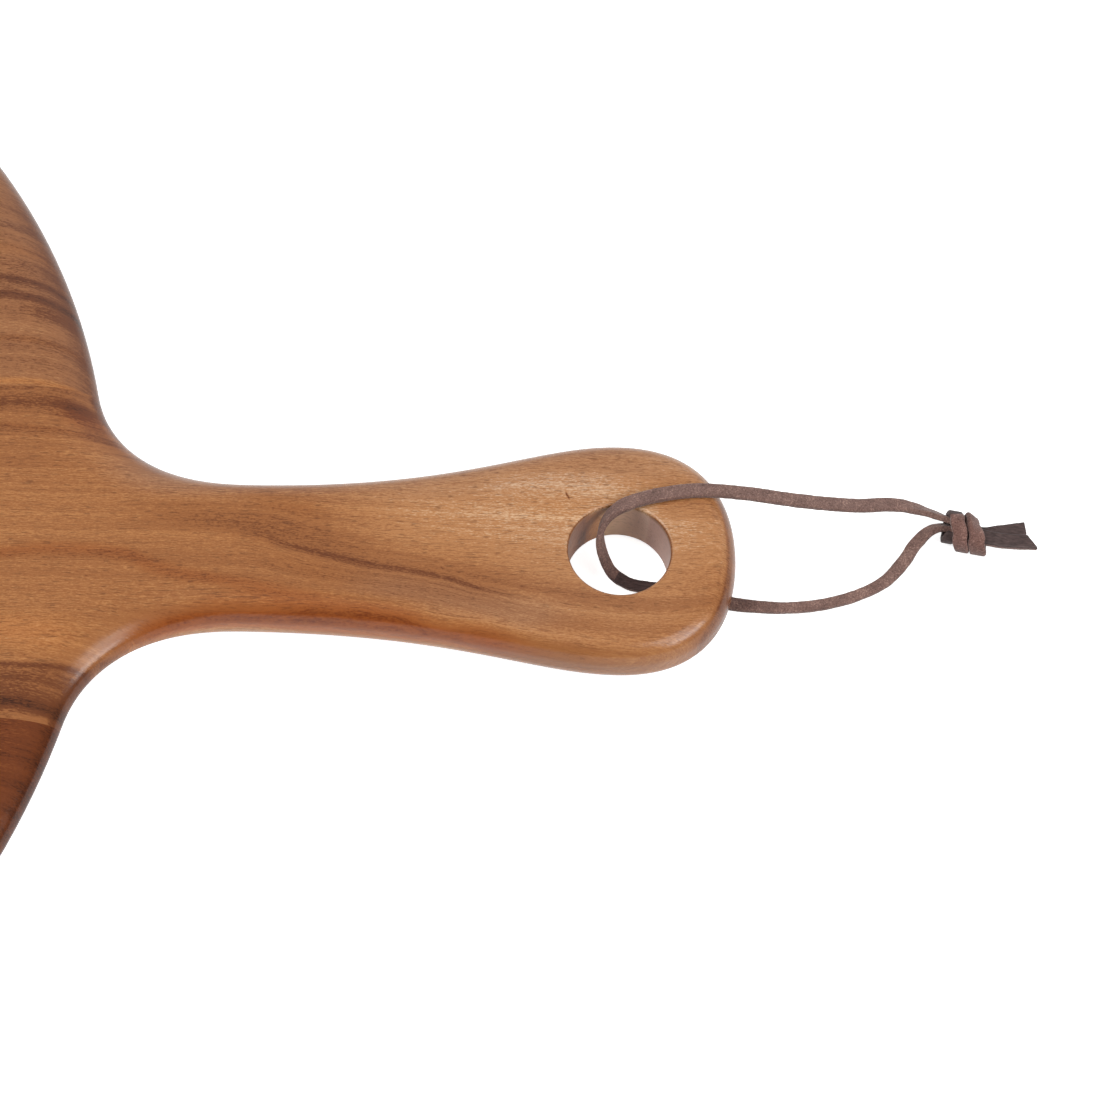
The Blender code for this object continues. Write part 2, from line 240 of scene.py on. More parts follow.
def curved(tree, value, points):
    """A smooth curve through points from 0 to 1 each way."""
    made = add_node(tree, "ShaderNodeFloatCurve", {"Value": value})
    line = made.mapping.curves[0]
    for spare in range(len(points) - 2):
        line.points.new(0.5, 0.5)
    for point, place in zip(line.points, points):
        point.location = place
    made.mapping.extend = "HORIZONTAL"
    made.mapping.use_clip = False
    made.mapping.update()
    return made.outputs[0]


def ramped(tree, value, stops):
    made = add_node(tree, "ShaderNodeValToRGB", {0: value})
    ramp = made.color_ramp
    ramp.interpolation = "EASE"
    while len(ramp.elements) < len(stops):
        ramp.elements.new(0.5)
    for element, (place, colour) in zip(ramp.elements, stops):
        element.position = place
        element.color = colour
    return made.outputs[0]


def new_look(name):
    """A new material, its node tree and its shader."""
    made = bpy.data.materials.new(name)
    made.use_nodes = True
    return made, made.node_tree, made.node_tree.nodes["Principled BSDF"]


def relieved(tree, shader, height, strength, distance):
    """Gives the shader a fine relief from a height."""
    inputs = {"Height": height, "Strength": strength, "Distance": distance}
    relief = add_node(tree, "ShaderNodeBump", inputs)
    tree.links.new(relief.outputs[0], shader.inputs["Normal"])


def srgb(red, green, blue):
    """A colour written as it shows on screen, 0 to 255, as the linear values that shaders take."""
    linear = []
    for level in (red, green, blue):
        share = level / 255
        linear.append(share / 12.92 if share <= 0.04045 else ((share + 0.055) / 1.055) ** 2.4)
    return (*linear, 1.0)


# Wood

def outline():
    """Bezier points of the plan, as (point, handle before, handle after), anticlockwise round the board."""
    start = math.asin(FILLET_HALF / PLATE_RADIUS)
    arc = (2 * math.pi - 2 * start) / PLATE_ARCS
    arc_reach = 4 / 3 * math.tan(arc / 4) * PLATE_RADIUS
    end_reach = TIP_SQUARENESS * (TIP_X - WIDEST_X)
    tip_reach = TIP_SQUARENESS * WIDEST_HALF
    along_x = Vector((1, 0, 0))
    along_y = Vector((0, 1, 0))
    far_end = Vector((WIDEST_X, END_SHIFT + WIDEST_HALF, 0))
    far_neck = Vector((NECK_X, NECK_HALF, 0))
    near_neck = Vector((NECK_X, -NECK_HALF, 0))
    near_end = Vector((WIDEST_X, END_SHIFT - WIDEST_HALF, 0))
    tip = Vector((TIP_X, END_SHIFT, 0))
    points = [
        (far_end, far_end + along_x * end_reach, far_end - along_x * WIDEST_REACH_BACK),
        (far_neck, far_neck + along_x * NECK_REACH_ON, far_neck - along_x * NECK_REACH_BACK),
    ]
    for step in range(PLATE_ARCS + 1):
        angle = start + step * arc
        out = Vector((math.cos(angle), math.sin(angle), 0))
        along = Vector((-math.sin(angle), math.cos(angle), 0))
        before = FILLET_REACH if step == 0 else arc_reach
        after = FILLET_REACH if step == PLATE_ARCS else arc_reach
        point = out * PLATE_RADIUS
        points.append((point, point - along * before, point + along * after))
    points += [
        (near_neck, near_neck - along_x * NECK_REACH_BACK, near_neck + along_x * NECK_REACH_ON),
        (near_end, near_end - along_x * WIDEST_REACH_BACK, near_end + along_x * end_reach),
        (tip, tip - along_y * tip_reach, tip + along_y * tip_reach),
    ]
    return points


def plan():
    """Points round the plan and the outward direction at each."""
    knots = outline()
    points = []
    for (start, _, leave), (end, arrive, _) in zip(knots, knots[1:] + knots[:1]):
        points += interpolate_bezier(start, leave, arrive, end, OUTLINE_STEPS + 1)[:-1]
    outs = []
    for index, point in enumerate(points):
        along = points[(index + 1) % len(points)] - points[index - 1]
        outs.append(Vector((along.y, -along.x, 0)).normalized())
    return points, outs


def edge_at(x):
    """How far in and how deep the edge is rounded: the plate's edge eases into the handle's at the fillet."""
    fillet_x = math.sqrt(PLATE_RADIUS**2 - FILLET_HALF**2)
    share = min(max((x - fillet_x) / (NECK_X - fillet_x), 0), 1)
    ease = share * share * (3 - 2 * share)
    reach = PLATE_EDGE_REACH + (HANDLE_EDGE_REACH - PLATE_EDGE_REACH) * ease
    depth = PLATE_EDGE_DEPTH + (HANDLE_EDGE_DEPTH - PLATE_EDGE_DEPTH) * ease
    return reach, depth


def scratch_object(name, mesh):
    made = bpy.data.objects.new(name, mesh)
    bpy.context.scene.collection.objects.link(made)
    return made


def baked(thing):
    """The evaluated object as a plain mesh; the object itself goes."""
    bpy.context.view_layer.update()
    graph = bpy.context.evaluated_depsgraph_get()
    mesh = bpy.data.meshes.new_from_object(thing.evaluated_get(graph))
    bpy.data.objects.remove(thing)
    return mesh


def board_form():
    """The whole board in one piece, lofted up its rounded edge."""
    points, outs = plan()
    turns = [math.pi / 2 * step / EDGE_STEPS for step in range(EDGE_STEPS + 1)]
    levels = [(-1, turn) for turn in reversed(turns)] + [(1, turn) for turn in turns]
    shape = bmesh.new()
    rings = []
    for side, turn in levels:
        ring = []
        for point, out in zip(points, outs):
            reach, depth = edge_at(point.x)
            inset = reach * (1 - math.cos(turn))
            height = THICKNESS / 2 + side * (THICKNESS / 2 - depth + depth * math.sin(turn))
            ring.append(shape.verts.new(point - out * inset + Vector((0, 0, height))))
        rings.append(ring)
    for below, above in zip(rings, rings[1:]):
        for index in range(len(points)):
            shape.faces.new((below[index - 1], below[index], above[index], above[index - 1]))
    shape.faces.new(reversed(rings[0]))
    shape.faces.new(rings[-1])
    mesh = bpy.data.meshes.new("board_form")
    shape.to_mesh(mesh)
    shape.free()
    return scratch_object("board_form", mesh)


def hole_form():
    """A turned cutter whose ends flare to ease the rims of the hanging hole."""
    past = 2 * MM
    rim = HOLE_RADIUS + HOLE_EASE
    profile = [(0, -past), (rim, -past)]
    for step in range(EASE_STEPS + 1):
        angle = math.pi / 2 * step / EASE_STEPS
        profile.append((rim - HOLE_EASE * math.sin(angle), HOLE_EASE - HOLE_EASE * math.cos(angle)))
    for step in range(EASE_STEPS + 1):
        angle = math.pi / 2 * step / EASE_STEPS
        height = THICKNESS - HOLE_EASE + HOLE_EASE * math.sin(angle)
        profile.append((rim - HOLE_EASE * math.cos(angle), height))
    profile += [(rim, THICKNESS + past), (0, THICKNESS + past)]
    shape = bmesh.new()
    line = [shape.verts.new((radius, 0, height)) for radius, height in profile]
    edges = [shape.edges.new(pair) for pair in zip(line, line[1:])]
    bmesh.ops.spin(
        shape,
        geom=line + edges,
        axis=(0, 0, 1),
        cent=(0, 0, 0),
        angle=2 * math.pi,
        steps=HOLE_STEPS,
        use_merge=True,
    )
    bmesh.ops.remove_doubles(shape, verts=shape.verts, dist=0.01 * MM)
    bmesh.ops.recalc_face_normals(shape, faces=shape.faces)
    bmesh.ops.translate(shape, vec=(HOLE_X, 0, 0), verts=shape.verts)
    mesh = bpy.data.meshes.new("hole_form")
    shape.to_mesh(mesh)
    shape.free()
    return scratch_object("hole_form", mesh)


def stave(name, low, high, form, hole, look):
    """What a strip between two glue lines keeps of the board, smooth but for its glued faces."""
    spare = 1.2
    shape = bmesh.new()
    bmesh.ops.create_cube(shape, size=1)
    size = (spare * (TIP_X + PLATE_RADIUS), high - low, 2 * THICKNESS)
    bmesh.ops.scale(shape, vec=size, verts=shape.verts)
    bmesh.ops.translate(shape, vec=(MIDDLE_X, (low + high) / 2, THICKNESS / 2), verts=shape.verts)
    blank_mesh = bpy.data.meshes.new(name)
    shape.to_mesh(blank_mesh)
    shape.free()
    blank = scratch_object(name + "_blank", blank_mesh)
    for tool, operation in ((form, "INTERSECT"), (hole, "DIFFERENCE")):
        if tool:
            boolean = blank.modifiers.new(operation.lower(), "BOOLEAN")
            boolean.object = tool
            boolean.operation = operation
            boolean.solver = "EXACT"
    mesh = baked(blank)
    mesh.transform(REST)
    mesh.shade_smooth()
    mesh.set_sharp_from_angle(angle=WOOD_SHARP_ANGLE)
    smoothed = scratch_object(name + "_smoothed", mesh)
    weighted = smoothed.modifiers.new("weighted", "WEIGHTED_NORMAL")
    weighted.keep_sharp = True
    weighted.weight = FLAT_FACE_WEIGHT
    mesh = baked(smoothed)
    mesh.materials.clear()
    mesh.materials.append(look)
    return scratch_object(name, mesh)


# Look of the wood, in millimetres of the board's frame

# Spans here are (from, to), or (from, to, value before, value after)

WOOD_TONES = [
    (0.0, srgb(60, 33, 22)),
    (0.25, srgb(108, 61, 35)),
    (0.5, srgb(151, 96, 56)),
    (0.75, srgb(178, 121, 73)),
    (1.0, srgb(212, 168, 122)),
]
RED_TINT = (1.0, 0.70, 0.47, 1.0)
PALE_TINT = (0.94, 1.08, 1.46, 1.0)
LACQUER_ROUGHNESS = 0.21
LACQUER_SPECULAR = 0.38

# Rings as (scale along, across and down, share of the seed on each axis, detail, roughness, swing of tone)
RINGS = [
    ((0.004, 0.09, 0.02), (1, 1, 0), 2.0, 0.5, 0.09),
    ((0.005, 0.34, 0.05), (1, 0, 1), 3.0, 0.6, 0.11),
    ((0.014, 1.3, 0.2), (0, 1, 1), 2.0, 0.6, 0.08),
]
WANDER_SCALE = (0.03, 0.09, 0.05)
WANDER = 1.6

# Fibres, speckle and pores, all calmer down the edge than on the flat; pores show most on pale wood
FIBRE_SCALE = (0.46, 3.8, 1.4)
FIBRE_SWING = 0.17
SPECKLE_SCALE = (1.3, 3.4, 1.6)
SPECKLE_SWING = 0.12
SHORT_PORE_SCALE = (0.34, 3.6, 1.4)
SHORT_PORE_LEVELS = (0.64, 0.72)
LONG_PORE_SCALE = (0.11, 4.0, 1.0)
LONG_PORE_LEVELS = (0.69, 0.76)
PORE_COLOUR = srgb(84, 50, 34)
PORE_BY_TONE = (0.1, 0.5, 0.2, 0.46)
CALM_BY_DEPTH = (0.2, 2.5, 1.0, 0.4)
ABOVE_VEIN = (-0.5, 3.0)
STRAIGHT_GRAIN_SEED = 7

# The near side of the handle: where it lies, its red band from start to end (partly the wood's own red,
# partly painted shade), and below that paler wood as painted light
NEAR_SIDE_ACROSS = (-12, -17)
NEAR_SIDE_START = (198, 236)
NEAR_SIDE_END = (270, 320, 1, 0)
NEAR_SIDE_FOOT = (12.0, 14.5, 1, 0)
RED_BAND_START = (1.8, 4.0, 0, 0.8)
RED_BAND_END = (6.0, 9.5, 0, -1.15)
PAINTED_LIGHT_BELOW = (4.2, 8.2, 0, 0.40)

# The bare wall of the hanging hole: its rim past the hole's radius, and painted shade on its left turning to
# painted light and a greyish painted reflection on its right
BARE_RIM = (0.3, 1.2)
BARE_ROUGHNESS = 0.38
WALL_TOP = (0.8, 2.4)
WALL_RIGHT = (-9, 1)
WALL_PAINTED_SHADE_TO_LIGHT = (-0.19, 0.30)
WALL_SHADING_REDNESS = (0.55, 0.05)
WALL_REFLECTION_GREY_RIGHT = (-5, 8)
WALL_REFLECTION_GREY_SHARE = (0, 0.5)
WALL_REFLECTION_GREY = (0.60, 0.40, 0.37, 1.0)

# The vein that crosses the handle, and the line under it: the grain between them and the far edge fans out
VEIN = [
    (232, 3.4), (241, 2.7), (253.6, -1.7), (270, -5.5), (286, -8.2), (298, -11.4),
    (312, -14.8), (326, -16.3), (341, -16.8), (358, -14.0),
]
UNDER_VEIN = [
    (232, -17.1), (254, -16.6), (269, -17.4), (285.5, -19.6),
    (302, -22.5), (317, -25.3), (341, -27.0), (358, -25.0),
]
FAN_TOP = 16.0

# Streaks as (route in x and y on the top face, half width, fade at the ends, change of tone, redness)
CENTRE_FIGURE = [
    # The vein and the shades that run with it
    (VEIN[:7], 2.5, 18, -0.14, 0.0),
    ([(x, y - 0.3) for x, y in VEIN[1:7]], 1.4, 12, -0.12, 0.0),
    ([(252, -5.0), (273, -8.6), (285, -10.6), (298, -13.4), (312, -17.2)], 1.0, 16, -0.07, 0.0),
    ([(236, -1.5), (260, -8.0), (290, -14.0), (316, -20.0), (335, -22.0)], 4.5, 22, -0.07, 0.15),
    ([(205, 8.5), (235, 5.5), (262, 0.5), (285, -4.5)], 7.0, 26, -0.11, 0.1),
    # The pale end of the handle, the red band on its near side (partly the wood's own, partly painted shade),
    # and the shades between
    ([(246, 9.0), (285, 9.0), (302, 9.5), (331, 11.0), (375, 9.0), (410, 8.0)], 22.0, 44, 0.24, -0.35),
    ([(206, -25.0), (224, -22.5), (240, -20.0), (269, -20.5), (286, -22.6), (302, -25.2), (320, -28.5)],
     8.0, 24, -0.20, 1.2),
    ([(258, -10.0), (286, -13.5), (306, -17.5), (326, -20.0)], 7.0, 20, 0.03, -0.8),
    ([(236, 14.0), (250, 10.5), (264, 6.5)], 5.0, 10, -0.05, 0.2),
    ([(285, -6.0), (330, -8.0), (370, -6.0)], 34.0, 40, 0.14, -0.52),
    ([(292, -26.0), (317, -27.4), (333, -27.5)], 2.6, 16, -0.12, 0.3),
    ([(250, -1.0), (268, -4.0), (285, -6.0), (300, -8.5), (314, -10.5), (328, -12.5), (342, -13.5)],
     5.5, 12, -0.075, 0.0),
    ([(305, -12.5), (326, -14.8), (340, -15.6), (356, -13.0), (364, -11)], 3.4, 16, -0.12, 0.0),
    ([(278, -17.0), (298, -19.5), (318, -21.5)], 5.5, 12, 0.09, -0.3),
    # Lines of the plate that run out at the near fillet
    ([(-215, -12.0), (-70, -8.4), (60, -5.4), (150, -4.5), (182, -3.4), (196, -2.6), (206, -3.2), (218, -6.9),
      (230, -10), (242, -12.2), (268, -15)], 3.2, 24, -0.10, 0.45),
    ([(-215, -28.0), (-70, -25.0), (60, -23.8), (150, -24.5), (190, -25.5), (212, -28.0)],
     8.5, 20, 0.10, 0.3),
    ([(-215, -40.5), (-70, -37.4), (60, -34.9), (150, -34.8), (184, -34.4), (200, -33.0), (214, -31.5)],
     1.5, 6, -0.24, 0.0),
    ([(-215, -43.0), (-70, -40.0), (60, -37.7), (150, -37.6), (184, -37.2), (200, -36.0), (214, -35.0)],
     5.0, 6, -0.25, 0.0),
    ([(-215, -46.5), (-70, -44.0), (60, -41.8), (150, -41.6), (186, -41.6), (214, -42.5)],
     5.0, 6, -0.20, 0.0),
    ([(-215, -49.0), (-70, -46.6), (60, -44.4), (150, -44.2), (214, -44.6)], 3.1, 6, -0.32, 0.0),
    ([(-215, -50.0), (60, -48.5), (150, -48.5), (214, -48.5)], 5.0, 6, -0.07, 0.0),
    ([(-215, -43.5), (-70, -40.6), (60, -38.3), (150, -38.4), (186, -38.0), (214, -39)], 1.0, 6, -0.08, 0.0),
    # Lines of the plate that run out at the far fillet, painted shade along the fillet, and the far corner of
    # the end
    ([(-215, 49.0), (-70, 46.5), (60, 44.6), (150, 44.2), (186, 44.0), (210, 44.0)], 3.2, 8, -0.21, 0.0),
    ([(-215, 45.6), (-70, 43.4), (60, 41.0), (150, 40.2), (186, 39.8), (205, 39.4)], 3.9, 8, -0.22, 0.1),
    ([(-215, 34.0), (-70, 31.0), (60, 28.0), (150, 28.0), (205, 26.0)], 15.0, 20, -0.09, 0.0),
    ([(186, 42.0), (198, 37.0), (208, 30.0), (220, 24.5), (236, 21.5)], 6.0, 10, -0.12, 0.2),
    ([(194, 33.0), (203, 30.0), (212, 26.0), (222, 22.0)], 6.0, 6, -0.12, 0.1),
    ([(330, 28.0), (345, 27.0), (356, 23.0), (366, 16.0)], 9.0, 10, 0.08, 0.0),
    ([(188, 36.0), (197, 36.5), (212, 37.0)], 5.0, 9, -0.10, 0.3),
    ([(-215, 38.0), (-70, 36.0), (60, 34.0), (150, 33.0), (186, 32.0), (205, 31.0)], 1.4, 8, -0.08, 0.2),
    # The pin mark
    ([(317.8, 15.8), (319.0, 13.8)], 1.0, 0.25, -0.55, 0.0),
    # The far side of the handle, and behind the hole painted light towards the far edge and painted shade
    # that damps the lamps' highlight near the hole and on the end's upper right
    ([(200, 23.0), (218, 21.0), (270, 20.0), (310, 24.5), (350, 27.0), (380, 27.0)], 11.0, 20, 0.0, -1.0),
    ([(292, 16.5), (312, 18.0), (326, 18.0), (338, 17.0)], 7.0, 12, 0.09, -0.2),
    ([(302, 10.0), (320, 9.5), (338, 9.0)], 6.0, 14, -0.06, 0.25),
    ([(338, 13.5), (349, 12.5), (362, 10.0)], 10.0, 5, -0.17, 0.1),
]
FAR_FIGURE = [
    ([(-215, 84.0), (-90, 81.0), (40, 78.4), (150, 78.0), (178, 77.8), (206, 78.5)], 1.9, 8, -0.18, 0.0),
    ([(-215, 77.0), (-90, 74.8), (40, 73.2), (150, 72.9), (178, 72.4), (206, 72.4)], 2.2, 8, -0.26, 0.0),
    ([(176, 69.4), (186, 69.2), (200, 70.0), (212, 70.4)], 4.5, 9, -0.13, 0.2),
    ([(-215, 80.5), (-90, 77.8), (40, 75.4), (150, 75.0), (206, 75.4)], 6.0, 8, -0.12, -0.1),
    ([(-215, 106.0), (-90, 101.5), (40, 97.8), (150, 97.0), (206, 98.0)], 3.0, 8, -0.08, -0.2),
    ([(-215, 94.0), (-90, 90.5), (40, 88.2), (150, 88.0), (206, 88.0)], 4.0, 8, -0.03, 0.3),
    ([(-215, 89.5), (-90, 86.2), (40, 83.4), (150, 83.0), (206, 84.0)], 2.4, 8, -0.09, 0.0),
    ([(-215, 70.0), (-90, 68.2), (40, 66.8), (150, 66.6), (206, 66.6)], 3.0, 8, -0.07, 0.0),
    ([(-215, 61.5), (-90, 60.8), (40, 59.8), (150, 59.4), (186, 58.8), (206, 58.2)], 1.6, 8, -0.10, 0.4),
    ([(-215, 64.5), (-90, 63.4), (40, 62.0), (150, 61.8), (196, 61.8)], 3.5, 14, 0.06, 0.0),
    ([(-215, 54.5), (-90, 53.8), (40, 53.0), (150, 53.0), (196, 52.0)], 5.0, 14, -0.04, 0.0),
    ([(-215, 46.0), (-90, 45.6), (40, 45.4), (150, 45.6), (186, 45.8), (206, 46)], 2.0, 8, 0.16, 0.8),
]


def line_height(tree, along, route):
    """The y of a route at each x; it keeps its first and last values past the ends."""
    low_x, high_x = route[0][0], route[-1][0]
    low_y = min(y for x, y in route) - 1
    high_y = max(y for x, y in route) + 1
    share = ranged(tree, along, low_x, high_x, smooth=False)
    places = [((x - low_x) / (high_x - low_x), (y - low_y) / (high_y - low_y)) for x, y in route]
    return ranged(tree, curved(tree, share, places), 0, 1, low_y, high_y, smooth=False)


def figure(tree, along, across, route, half_width, fade):
    """How strongly a streak shows: 1 on its route, 0 at half its width away and past its ends."""
    low_x, high_x = route[0][0], route[-1][0]
    middle = line_height(tree, along, route)
    away = maths(tree, "ABSOLUTE", maths(tree, "SUBTRACT", across, middle))
    body = ranged(tree, away, 0, half_width, 1, 0)
    start = ranged(tree, along, low_x, low_x + fade)
    end = ranged(tree, along, high_x - fade, high_x, 1, 0)
    return maths(tree, "MULTIPLY", body, maths(tree, "MULTIPLY", start, end))


def fanned(tree, along, across):
    """The ring coordinate of the handle's grain, and how far above the vein a point is."""
    vein = line_height(tree, along, VEIN)
    under = line_height(tree, along, UNDER_VEIN)
    start = VEIN[0][1]
    above = maths(tree, "SUBTRACT", across, vein)
    room_above = maths(tree, "SUBTRACT", FAN_TOP, vein)
    room_below = maths(tree, "SUBTRACT", vein, under)
    upper = maths(tree, "MULTIPLY", maths(tree, "MAXIMUM", above, 0.0), FAN_TOP - start)
    upper = maths(tree, "DIVIDE", upper, room_above)
    lower = maths(tree, "MULTIPLY", maths(tree, "MINIMUM", above, 0.0), start - UNDER_VEIN[0][1])
    lower = maths(tree, "DIVIDE", lower, room_below)
    ring = maths(tree, "ADD", maths(tree, "ADD", upper, lower), start)
    return ring, above


def fine_grain(tree, place, seed):
    """Fibre tone, and pores as dark dashes, many short and some long."""
    fibre = noised(tree, stretched(tree, place, FIBRE_SCALE, (seed, seed, 0)), 2.0, 0.6)
    short = noised(tree, stretched(tree, place, SHORT_PORE_SCALE, (0, seed, seed)), 0.0)
    long = noised(tree, stretched(tree, place, LONG_PORE_SCALE, (seed, 0, seed)), 0.0)
    short = ranged(tree, short, *SHORT_PORE_LEVELS)
    long = ranged(tree, long, *LONG_PORE_LEVELS)
    return fibre, maths(tree, "MAXIMUM", short, long)


def near_side(tree, along, y, depth):
    """Painted light on the paler lower wood of the handle's near side, and its red band above, partly the
    wood's own red and partly painted shade.
    """
    side = ranged(tree, y, *NEAR_SIDE_ACROSS)
    side = maths(tree, "MULTIPLY", side, ranged(tree, along, *NEAR_SIDE_START))
    side = maths(tree, "MULTIPLY", side, ranged(tree, along, *NEAR_SIDE_END))
    side = maths(tree, "MULTIPLY", side, ranged(tree, depth, *NEAR_SIDE_FOOT))
    warm = maths(tree, "ADD", ranged(tree, depth, *RED_BAND_START), ranged(tree, depth, *RED_BAND_END))
    painted_lighting = maths(tree, "MULTIPLY", side, ranged(tree, depth, *PAINTED_LIGHT_BELOW))
    return painted_lighting, maths(tree, "MULTIPLY", side, warm)


def hole_wall(tree, along, y, depth):
    """How bare the hanging hole is, its wall's painted shade and light in tone and redness, and how much
    greyish painted reflection the wall has.
    """
    centre = HOLE_X / MM
    spot = combined(tree, along, y, 0.0)
    apart = add_node(tree, "ShaderNodeVectorMath", {0: spot, 1: (centre, 0, 0)}, operation="DISTANCE")
    rim_start, rim_end = (HOLE_RADIUS / MM + past for past in BARE_RIM)
    bare = ranged(tree, apart.outputs["Value"], rim_start, rim_end, 1, 0)
    wall = maths(tree, "MULTIPLY", bare, ranged(tree, depth, *WALL_TOP))
    from_centre = maths(tree, "SUBTRACT", along, centre)
    right = ranged(tree, from_centre, *WALL_RIGHT)
    painted_lighting = maths(tree, "MULTIPLY", wall, ranged(tree, right, 0, 1, *WALL_PAINTED_SHADE_TO_LIGHT))
    painted_redness = maths(tree, "MULTIPLY", wall, ranged(tree, right, 0, 1, *WALL_SHADING_REDNESS))
    painted_reflection = maths(tree, "MULTIPLY", wall, ranged(tree, from_centre, *WALL_REFLECTION_GREY_RIGHT, *WALL_REFLECTION_GREY_SHARE))
    return bare, painted_lighting, painted_redness, painted_reflection


def tinted(tree, colour, red):
    """The colour reddened where red is above 0 and paled where it is below; red may be one plain number."""
    for tint, full in ((RED_TINT, 1), (PALE_TINT, -1)):
        if isinstance(red, float):
            share = min(max(red / full, 0.0), 1.0)
        else:
            share = ranged(tree, red, 0, full, smooth=False)
        colour = mixed(tree, share, colour, tint, "MULTIPLY")
    return colour


def acacia(name, seed, tone, redness, lean, end_grain_and_shade, figures=(), handle=False):
    """Acacia under satin lacquer: rings lie across the stave and lean with depth, pores run along it."""
    made, tree, shader = new_look(name)
    surface = add_node(tree, "ShaderNodeTexCoord").outputs
    back = REST.inverted()
    place = stretched(tree, surface["Object"], (1 / MM,) * 3, back.translation / MM, back.to_euler())
    along, y, height = add_node(tree, "ShaderNodeSeparateXYZ", {0: place}).outputs
    depth = maths(tree, "SUBTRACT", THICKNESS / MM, height)
    wander = noised(tree, stretched(tree, place, WANDER_SCALE, (seed, 0, 0)))
    across = maths(tree, "MULTIPLY_ADD", depth, lean, y)
    across = maths(tree, "ADD", across, ranged(tree, wander, 0, 1, -WANDER, WANDER, smooth=False))
    ring, above = fanned(tree, along, across) if handle else (across, None)
    ring_place = combined(tree, along, ring, depth)

    # Rings and streaks
    level = tone
    for scale, seed_shares, detail, roughness, swing in RINGS:
        shift = [seed * share for share in seed_shares]
        rings = noised(tree, stretched(tree, ring_place, scale, shift), detail, roughness)
        level = maths(tree, "ADD", swung(tree, rings, swing), level)
    red = redness
    for route, half_width, fade, change, reddens in figures:
        shown = figure(tree, along, across, route, half_width, fade)
        level = maths(tree, "MULTIPLY_ADD", shown, change, level)
        if reddens:
            red = maths(tree, "MULTIPLY_ADD", shown, reddens, red)
    if handle:
        # The near side: painted light on its lower wood, and its red band, partly painted shade
        side_painted_light, side_redness = near_side(tree, along, y, depth)
        # The hole's wall: painted shade on the left, painted light on the right
        bare, wall_painted_shading, wall_painted_redness, painted_reflection = hole_wall(tree, along, y, depth)
        level = maths(tree, "ADD", level, maths(tree, "ADD", side_painted_light, wall_painted_shading))
        red = maths(tree, "ADD", red, maths(tree, "ADD", side_redness, wall_painted_redness))

    # Darker where the surface turns across the fibres: partly end grain, which drinks more lacquer, and
    # partly painted shade on the rounded rims and ends
    facing = add_node(tree, "ShaderNodeSeparateXYZ", {0: surface["Normal"]}).outputs[0]
    end_from, end_to, end_share = end_grain_and_shade
    end_level = ranged(tree, maths(tree, "ABSOLUTE", facing), end_from, end_to, 1, end_share)
    level = maths(tree, "MULTIPLY", level, end_level)

    # Fibres and pores, along the fan below the vein and along the handle above it
    fibre, pore = fine_grain(tree, ring_place, seed)
    if handle:
        straight_place = combined(tree, along, across, depth)
        straight_fibre, straight_pore = fine_grain(tree, straight_place, seed + STRAIGHT_GRAIN_SEED)
        upper = ranged(tree, above, *ABOVE_VEIN)
        fibre = between(tree, upper, fibre, straight_fibre)
        pore = between(tree, upper, pore, straight_pore)
    speckle = noised(tree, stretched(tree, place, SPECKLE_SCALE, (seed, 0, 0)), 1.0)
    fine = maths(tree, "ADD", swung(tree, fibre, FIBRE_SWING), swung(tree, speckle, SPECKLE_SWING))
    calm = ranged(tree, depth, *CALM_BY_DEPTH)
    level = maths(tree, "MULTIPLY_ADD", fine, calm, level)

    # Colour and lacquer
    colour = tinted(tree, ramped(tree, level, WOOD_TONES), red)
    # Painted reflection: a greyish sheen on the right of the hole's wall
    if handle:
        colour = mixed(tree, painted_reflection, colour, WALL_REFLECTION_GREY)
    dashes = maths(tree, "MULTIPLY", calm, ranged(tree, level, *PORE_BY_TONE))
    colour = mixed(tree, maths(tree, "MULTIPLY", pore, dashes), colour, PORE_COLOUR)
    tree.links.new(colour, shader.inputs["Base Color"])
    shader.inputs["Specular IOR Level"].default_value = LACQUER_SPECULAR
    shader.inputs["Roughness"].default_value = LACQUER_ROUGHNESS
    if handle:
        duller = ranged(tree, bare, 0, 1, LACQUER_ROUGHNESS, BARE_ROUGHNESS)
        tree.links.new(duller, shader.inputs["Roughness"])
    relieved(tree, shader, speckle, strength=0.3, distance=0.1 * MM)
    return made


